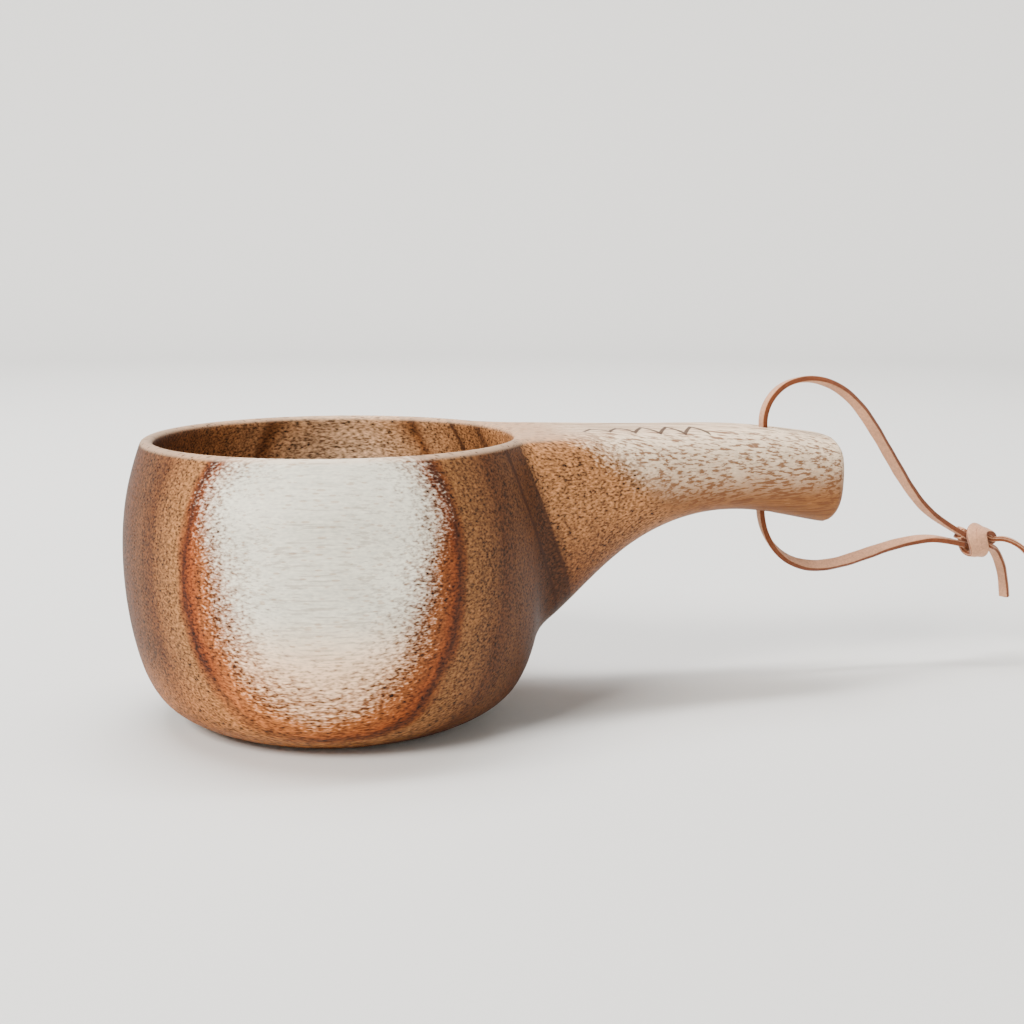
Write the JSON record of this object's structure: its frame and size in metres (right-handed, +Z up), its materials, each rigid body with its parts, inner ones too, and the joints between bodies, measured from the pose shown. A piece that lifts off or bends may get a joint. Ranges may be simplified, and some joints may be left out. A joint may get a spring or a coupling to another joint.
{
  "type": "kuksa_cup",
  "caption": "Carved wooden drinking cup with a deep round bowl, a one-piece handle that dips at its end, and a knotted suede lace loop through the handle",
  "frame": {"origin": "centre of the flat base, under the middle of the mouth", "axes": "+X from the bowl along the handle to its end, +Z up out of the mouth, +Y to the left seen from the bowl along the handle"},
  "size_m": [0.2362, 0.0986, 0.0773],
  "materials": {
    "carved_wood": "oiled, satin",
    "lace_suede": "napped, matt"
  },
  "bodies": {
    "cup": {"cup_body": "carved_wood"},
    "lace": {"lace_upper": "lace_suede", "lace_lower": "lace_suede", "lace_knot": "lace_suede", "lace_tail_a": "lace_suede", "lace_tail_b": "lace_suede"}
  },
  "joints": [
    {"name": "lace_swing", "type": "hinge", "parent": "cup", "child": "lace", "pos_m": [0.108, 0, 0.0543], "axis": [0, 0, 1], "range_deg": [-130, 130]}
  ]
}
